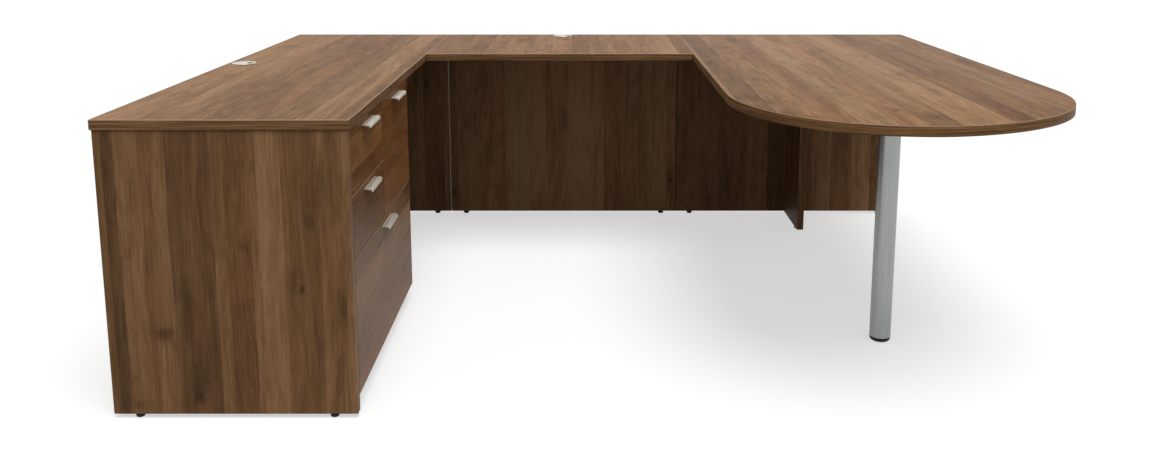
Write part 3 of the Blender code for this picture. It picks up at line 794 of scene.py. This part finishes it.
# each panel: its seed and its tone
rear_panels = {
    "left_rear_panel": (1.9, 0.60),
    "left_back_panel": (5.6, 0.62),
    "bridge_back_panel": (9.3, 0.79),
    "peninsula_back_panel": (13.0, 0.68),
    "stiffener_panel": (16.7, 0.60),
}
for node, (seed, tone) in rear_panels.items():
    look = Look(tone=tone, spread=0.4, figure=1.3)
    dress(node, walnut(f"{node}_walnut", "upright", seed, look, seams=(open_seam, tight_seam)))

# Levelling glides
# Moulded black feet that the panels stand on. Each is in one with a threaded stem that screws up
# into the panel's bottom edge.

plastic_dark, plastic_light = (0.005, 0.005, 0.005), (0.012, 0.012, 0.012)
plastic_grain, plastic_relief, plastic_bump = (1500.0,) * 3, 0.0002, 0.3
plastic_dullness, grained_dullness, plastic_shine = 0.40, 0.2, 0.25

black_plastic, wire, shader, _ = new_material("black_plastic")
grained = clouds(wire, plastic_grain)
plastic_colour = shaded(wire, plastic_dark, plastic_light, grained)
surfaced(shader, plastic_colour, grained * grained_dullness + plastic_dullness)
bumped(wire, shader, grained, plastic_bump, plastic_relief)
shader.inputs["Specular IOR Level"].default_value = plastic_shine

thread_pitch, thread_depth = 0.00125, 0.0006
thread_steps, thread_sides, glide_sides = 6, 14, 32
sole_round = 0.0040
skirt_top, shoulder_foot, shoulder_top = 0.0066, 0.0070, 0.0076
shoulder_in, shoulder_round = 0.0006, 0.0009
collar = [(0.0056, 0.0085), (0.0050, 0.0090)]
stem_radius, stem_from = 0.0040, 0.0089


def threaded(centre, radius, low, high):
    """Rings of a screw thread: the radius falls and rises once a pitch, a turn later all round."""
    height = np.linspace(low, high, int((high - low) / thread_pitch * thread_steps))[:, None]
    turn = np.arange(thread_sides) * math.tau / thread_sides
    phase = (height / thread_pitch - turn / math.tau) % 1.0
    crest = radius - thread_depth * np.abs(2 * phase - 1)
    return carried_round(centre, crest, turn, height)


for node in sorted(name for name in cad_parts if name.endswith("_glide")):
    low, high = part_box(node)
    centre, radius = middle_of(low, high), (high.x - low.x) / 2
    shoulder = radius - shoulder_in
    glide_profile = [
        *arc((radius - sole_round, sole_round), sole_round, -90, 0, 6),
        (radius, skirt_top),
        (shoulder, shoulder_foot),
        (shoulder, shoulder_top),
        *arc((shoulder - shoulder_round, shoulder_top), shoulder_round, 0, 90, 3),
        *collar,
    ]
    stem = threaded(centre, stem_radius, stem_from, high.z)
    shells = [(turned(glide_profile, centre, glide_sides), False), (stem, False)]
    skin(node.replace("_glide", "_foot"), shells, black_plastic, node, node)

# Post under the peninsula
# A drawn aluminium tube, 60 mm across. A square plate is welded on top and screwed up into the
# board. A black plastic foot is plugged into the bottom end.

aluminium_dark, aluminium_light = (0.27, 0.28, 0.265), (0.38, 0.39, 0.375)
draw_lines, hand_marks = (900.0, 900.0, 5.0), (25.0, 25.0, 9.0)
tube_dullness, draw_dullness, hand_dullness = 0.27, 0.14, 0.06

aluminium, wire, shader, _ = new_material("satin_aluminium")
drawn = clouds(wire, draw_lines, *line_detail)
tube_dull = drawn * draw_dullness + clouds(wire, hand_marks) * hand_dullness + tube_dullness
surfaced(shader, shaded(wire, aluminium_dark, aluminium_light, drawn), tube_dull, 1.0)

# a screw head's rings, as shares of its radius, how square its dome is, and its cross
head_rings = [1.0, 1.0, 0.97, 0.86, 0.72, 0.62, 0.58, 0.44, 0.30, 0.16, 0.08]
head_sides, dome_square = 32, 1.15
cross_half, cross_reach, cross_depth = 0.00055, 0.60, 0.0011
# the bead of the weld: its rings, their points, and its ripples
bead_rings, bead_sides, bead_ripples, ripple_share = 180, 12, 45, 0.10


def pan_heads(places, toward, radius, rise):
    """Shells of cross-cut screw heads that face along an axis, such as "-x".

    A grid of distance from the middle and of turn about it: the height falls off as a quarter
    ellipse, and sinks where the nearer of the two cross arms is less than half its width away.
    """
    share = np.array(head_rings)[:, None]
    turn = np.arange(head_sides) * math.tau / head_sides
    u, v = share * radius * np.cos(turn), share * radius * np.sin(turn)
    lift = rise * np.sqrt(np.clip(dome_square - share**2, 0, None) / dome_square) + 0 * turn
    lift[0] = 0.0
    in_cross = (np.minimum(np.abs(u), np.abs(v)) < cross_half) & (share < cross_reach)
    lift = np.where(in_cross, lift - cross_depth, lift)
    if toward[0] == "-":
        lift = -lift
    columns = {"x": (lift, u, v), "y": (u, lift, v), "z": (u, v, lift)}[toward[1]]
    head = np.stack(columns, axis=-1)
    return [(head + np.array(place), False) for place in places]


def weld_bead(centre, radius, height, size):
    """Rings of a bead round a tube: a small circle carried round a large one, rippled by a sine."""
    turn = np.arange(bead_rings)[:, None] * math.tau / bead_rings
    around = np.arange(bead_sides) * math.tau / bead_sides
    bead = size * (1 + ripple_share * np.sin(turn * bead_ripples))
    out, up = bead * np.cos(around), bead * np.sin(around)
    return carried_round(centre, radius + out, turn, height + up)


def rounded_corners(low, high, radius, steps=8):
    """An anticlockwise rectangle with a quarter circle at each corner."""
    left, right, front, rear = low.x + radius, high.x - radius, low.y + radius, high.y - radius
    corners = [(right, rear), (left, rear), (left, front), (right, front)]
    turns = zip(corners, (0, 90, 180, 270))
    return np.concatenate([arc(corner, radius, turn, turn + 90, steps) for corner, turn in turns])


post_radius, post_wall, tube_arris = 0.030, 0.0015, 0.0004
plate_thickness, plate_corner, plate_arris, tube_sunk = 0.004, 0.006, 0.0006, 0.001
bead_size, bead_out, bead_down = 0.0022, 0.0008, 0.0006
screw_reach, screw_radius, screw_rise = 0.046, 0.0048, 0.0024

post_low, post_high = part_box("leg_post")
centre = middle_of(post_low, post_high)
bore = post_radius - post_wall
plate_under = post_high.z - plate_thickness
tube_profile = [
    (post_radius, plate_under + tube_sunk),
    (post_radius, post_low.z + tube_arris),
    (post_radius - tube_arris, post_low.z),
    (bore + tube_arris, post_low.z),
    (bore, post_low.z + tube_arris),
    (bore, plate_under + tube_sunk),
]
plate_outline = rounded_corners(post_low, post_high, plate_corner)
screw_places = [
    (centre[0] + across * screw_reach, centre[1] + along * screw_reach, plate_under)
    for across in (-1, 1)
    for along in (-1, 1)
]
post_shells = [
    (turned(tube_profile, centre, rim_sides), True),
    (drawn_out(plate_outline, eased(plate_under, post_high.z, plate_arris, 2)), False),
    (weld_bead(centre, post_radius + bead_out, plate_under - bead_down, bead_size), True),
    *pan_heads(screw_places, "-z", screw_radius, screw_rise),
]
skin("post", post_shells, aluminium, "desk", "leg_post")

# the foot stands a hair inside the tube's outline, with a fine groove and then a plug in the bore
foot_gap, foot_in, foot_round = 0.0003, 0.0006, 0.009
groove_in, foot_chamfer = 0.0005, 0.0003
groove_edges = (0.0024, 0.0021, 0.0016, 0.0013)
plug_gap, plug_chamfer = 0.0004, 0.002

foot_low, foot_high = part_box("leg_foot")
foot_top, foot_side, plug = post_low.z - foot_gap, post_radius - foot_in, bore - plug_gap
foot_profile = [
    *arc((foot_side - foot_round, foot_low.z + foot_round), foot_round, -90, 0, 12),
    (foot_side, foot_top - groove_edges[0]),
    (foot_side - groove_in, foot_top - groove_edges[1]),
    (foot_side - groove_in, foot_top - groove_edges[2]),
    (foot_side, foot_top - groove_edges[3]),
    (foot_side, foot_top - foot_chamfer),
    (foot_side - foot_chamfer, foot_top),
    (plug, foot_top),
    (plug, foot_high.z - plug_chamfer),
    (plug - plug_chamfer, foot_high.z),
]
foot = turned(foot_profile, centre, rim_sides)
skin("post_foot", [(foot, False)], black_plastic, "leg_foot", "leg_foot")

# Case of the drawers
# Chipboard faced in the same print, hidden behind the fronts. It is screwed up under the left top
# and to the end panel. The zinc-plated outer members of the slides are one solid with its uprights.

zinc_dark, zinc_light = (0.36, 0.365, 0.37), (0.62, 0.63, 0.64)
rolling_lines, zinc_patches = (6.0, 900.0, 900.0), (30.0,) * 3
rolling_share, patch_share = 0.6, 0.4
zinc_dullness, rolling_dullness, patch_dullness = 0.20, 0.20, 0.16
proud_of_board = (0.0001, 0.0002)
case_thickness = 0.016
upright_seed, level_seed = 6.4, 8.8


def zinc_skin(wire):
    """Zinc-plated steel's colour and roughness: faint rolled lines along X over soft patches."""
    rolled = clouds(wire, rolling_lines, *line_detail)
    patches = clouds(wire, zinc_patches)
    dull = rolled * rolling_dullness + patches * patch_dullness + zinc_dullness
    return shaded(wire, zinc_dark, zinc_light, rolled * rolling_share + patches * patch_share), dull


def case_board(name, low, high):
    """Walnut print on the board between two faces, and zinc plate on what stands proud of it."""
    material = walnut(name, "upright", upright_seed)
    shader = material.node_tree.nodes["Principled BSDF"]
    walnut_colour, walnut_dull = (
        Wire(material.node_tree, shader.inputs[socket].links[0].from_socket)
        for socket in ("Base Color", "Roughness")
    )
    y = object_place(walnut_colour)[1]
    steel = rising((y - high).math("MAXIMUM", low - y), *proud_of_board)
    zinc, zinc_dull = zinc_skin(walnut_colour)
    colour = blended(walnut_colour, steel, walnut_colour, zinc)
    surfaced(shader, colour, walnut_dull * (1 - steel) + zinc_dull * steel)
    steel.into(shader, "Metallic")
    return material


near_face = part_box("case_near_side")[0].y
far_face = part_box("case_far_side")[1].y
divider_middle = middle_of(*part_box("case_divider"))[1]
board_middles = {
    "near_side": near_face + case_thickness / 2,
    "far_side": far_face - case_thickness / 2,
    "divider": divider_middle,
}
for side, middle in board_middles.items():
    faces = middle - case_thickness / 2, middle + case_thickness / 2
    dress(f"case_{side}", case_board(f"{side}_walnut", *faces))
case_walnut = walnut("case_walnut", "drawer", level_seed)
for node in ("case_bottom", "case_top", "case_back", "case_shelf", "case_plinth"):
    dress(node, case_walnut)

# Bumpers
# Clear soft dots stuck on the front edges of the case, two for each drawer. They take the knock of
# the fronts.

gel_dark, gel_light = (0.30, 0.29, 0.26), (0.46, 0.45, 0.41)
gel_haze = (500.0,) * 3
gel_dullness, haze_dullness = 0.25, 0.2

bumper_gel, wire, shader, _ = new_material("bumper_gel")
hazed = clouds(wire, gel_haze)
surfaced(shader, shaded(wire, gel_dark, gel_light, hazed), hazed * haze_dullness + gel_dullness)

bumper_radius, bumper_rise, bumper_round = 0.004, 0.0016, 0.0010
bumper_sides, bumper_down, bumper_aside = 20, 0.030, 0.0035

round_middle = (bumper_radius - bumper_round, bumper_rise - bumper_round)
dot_profile = [(bumper_radius, 0.0), *arc(round_middle, bumper_round, 0, 90, 4)]
dot = turned(dot_profile, (0, 0), bumper_sides)[..., [2, 0, 1]]
case_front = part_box("case_near_side")[1].x
drawers = ("upper_box", "lower_box", "file", "lateral")
bumper_dots = []
for drawer in drawers:
    low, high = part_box(f"{drawer}_drawer_front")
    for end in (low.y, high.y):
        beside = min(board_middles.values(), key=lambda middle: abs(middle - end))
        if beside == divider_middle:
            beside += math.copysign(bumper_aside, (low.y + high.y) / 2 - divider_middle)
        bumper_dots.append((dot + np.array((case_front, beside, high.z - bumper_down)), False))
skin("bumpers", bumper_dots, bumper_gel, "desk")

# Drawer fronts
# Four 19 mm boards with the print's grain level, banded all round and screwed to the boxes from
# inside.

front_stain = (1.10, 0.945, 0.77, 1)
# the fronts' edges in the gaps between them are darkened with painted shade
front_look = Look(spread=0.3, dullness=0.40, shine=0.05, gap_shade=0.7, stain=front_stain)
# each front: its seed and its tone
fronts = {
    "upper_box": (2.6, 0.66),
    "lower_box": (7.9, 0.61),
    "file": (13.2, 0.66),
    "lateral": (18.5, 0.72),
}
for drawer, (seed, tone) in fronts.items():
    front_walnut = walnut(f"{drawer}_front_walnut", "drawer", seed, front_look._replace(tone=tone))
    dress(f"{drawer}_drawer_front", front_walnut)

# Pulls
# Die-cast strips in satin nickel, each held by two screws from behind the front. Two grooves run
# along the top with a ridge between them, and the outer edge turns down as a lip for fingertips.

# the grooves are darkened with painted shade
groove_shade_colour, groove_shade_share = (0.20, 0.17, 0.12, 1), 0.75
groove_places, groove_halves = (0.0074, 0.0183), (0.0003, 0.0011)
pull_dullness, pull_metal = 0.24, 0.85

pull_nickel, wire, shader, _ = new_material("pull_nickel")
pull_colour, pull_dull = nickel_skin(wire)
from_front = object_place(wire)[0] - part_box("file_drawer_front")[1].x
# painted shade along each groove
shade_in_grooves = 0
for groove_place in groove_places:
    shade_in_grooves = shade_in_grooves + (1 - rising((from_front - groove_place).math("ABSOLUTE"), *groove_halves))
pull_colour = blended(wire, shade_in_grooves * groove_shade_share, pull_colour, groove_shade_colour)
surfaced(shader, pull_colour, pull_dull + pull_dullness, pull_metal)

# how far out and how high the ridge is, how full the curves behind and in front of it are, and the
# lip; each groove's place is a share of its own curve
ridge_out, ridge_rise = 0.0145, 0.0018
back_bow, front_bow = 0.62, 0.72
lip_drop, lip_wall, lip_tip = 0.0082, 0.0024, 0.0009
belly_drop, belly_round, root_drop = 0.004, 0.0012, 0.002
groove_depth, groove_reach = 0.0007, 0.17
back_groove, front_groove = 0.70, 0.26
pull_arris = 0.0005
curve_steps = 40


def pull_section(reach):
    """The pull's outline: two Bezier arcs meet at the ridge, each pressed in by a cosine groove."""
    ridge, lip = (ridge_out, ridge_rise), (reach, lip_tip - lip_drop)
    shoulder = (ridge_out + front_bow * (reach - ridge_out), ridge_rise)
    knuckle = (reach, ridge_rise - (1 - front_bow) * (ridge_rise + lip_drop))
    back = (0, 0), (0, back_bow * ridge_rise), (ridge_out * (1 - back_bow), ridge_rise), ridge
    front = ridge, shoulder, knuckle, lip
    crest = np.r_[bezier(back, curve_steps), bezier(front, curve_steps)[1:]]
    place = np.r_[np.linspace(0, 1, curve_steps), np.linspace(1, 2, curve_steps)[1:]]
    run = np.gradient(crest, axis=0)
    run = run / np.linalg.norm(run, axis=1, keepdims=True)
    sink = 0
    for groove in (back_groove, 1 + front_groove):
        near = np.clip(np.abs(place - groove) / groove_reach, 0, 1)
        sink = sink + groove_depth * (1 + np.cos(math.pi * near)) / 2
    crest = crest + sink[:, None] * np.c_[run[:, 1], -run[:, 0]]
    tip = arc((0, 0), 1, 0, -180, 8) * (lip_wall / 2, lip_tip) + (reach - lip_wall / 2, lip[1])
    hollow_middle = (reach - lip_wall - belly_round, -belly_drop - belly_round)
    hollow = arc(hollow_middle, belly_round, 0, 90, 5)
    return np.r_[crest, tip[1:], hollow, [(0, -root_drop)]][::-1]


for drawer in drawers:
    body = f"{drawer}_drawer"
    low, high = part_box(f"{body}_pull")
    section = pull_section(high.x - low.x)
    strip = drawn_out(section, eased(low.y, high.y, pull_arris, 3))[..., [0, 2, 1]]
    pull = strip + np.array((low.x, 0, high.z - ridge_rise))
    skin(f"{drawer}_pull", [(pull, False)], pull_nickel, body, f"{body}_pull")

# Drawer boxes
# Dark melamine-faced board, doweled and glued, with a thin floor let in. The file boxes carry
# hanging ribs on top. The slides are zinc-plated steel.

melamine_dark, melamine_light = (0.036, 0.034, 0.033), (0.078, 0.074, 0.071)
melamine_specks, melamine_patches = (900.0,) * 3, (40.0,) * 3
melamine_dullness, speck_dullness = 0.42, 0.2
melamine_relief, melamine_bump = 0.0003, 0.2

melamine, wire, shader, _ = new_material("melamine")
specks, patches = clouds(wire, melamine_specks), clouds(wire, melamine_patches)
melamine_colour = shaded(wire, melamine_dark, melamine_light, specks * 0.5 + patches * 0.5)
surfaced(shader, melamine_colour, specks * speck_dullness + melamine_dullness)
bumped(wire, shader, specks, melamine_bump, melamine_relief)

zinc_plate, wire, shader, _ = new_material("zinc_plate")
surfaced(shader, *zinc_skin(wire), 1.0)

for drawer in drawers:
    dress(f"{drawer}_drawer_box", melamine)
    for side in ("near", "far"):
        dress(f"{drawer}_{side}_inner_member", zinc_plate)
        dress(f"{drawer}_{side}_middle_member", zinc_plate)

# the screws' heads: four in each box's front wall, two behind the pull, and three on each inner
# member, whose places are shares of its length; each kind's radius and rise
box_wall, slide_steel = 0.012, 0.0012
fixing_from_end, fixing_from_floor, fixing_from_top = 0.045, 0.035, 0.022
pull_screw_half, pull_screw_down = 0.048, 0.0030
member_screws = np.array((0.10, 0.52, 0.93))
fixing_head, pull_head, member_head = (0.0036, 0.0019), (0.0033, 0.0016), (0.0034, 0.0018)

for drawer in drawers:
    low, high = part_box(f"{drawer}_drawer_box")
    pull_low, pull_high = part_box(f"{drawer}_drawer_pull")
    fixings = [
        (high.x - box_wall, y, z)
        for y in (low.y + fixing_from_end, high.y - fixing_from_end)
        for z in (low.z + fixing_from_floor, high.z - fixing_from_top)
    ]
    front_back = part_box(f"{drawer}_drawer_front")[0].x
    pull_middle, screw_height = middle_of(pull_low, pull_high)[1], pull_high.z - pull_screw_down
    behind = [(front_back, pull_middle + side * pull_screw_half, screw_height) for side in (-1, 1)]
    heads = pan_heads(fixings, "-x", *fixing_head) + pan_heads(behind, "-x", *pull_head)
    for side in ("near", "far"):
        low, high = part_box(f"{drawer}_{side}_inner_member")
        webs = {"near": (high.y - slide_steel, "-y"), "far": (low.y + slide_steel, "+y")}
        web, toward = webs[side]
        places = [(x, web, (low.z + high.z) / 2) for x in low.x + (high.x - low.x) * member_screws]
        heads += pan_heads(places, toward, *member_head)
    skin(f"{drawer}_screws", heads, zinc_plate, f"{drawer}_drawer")
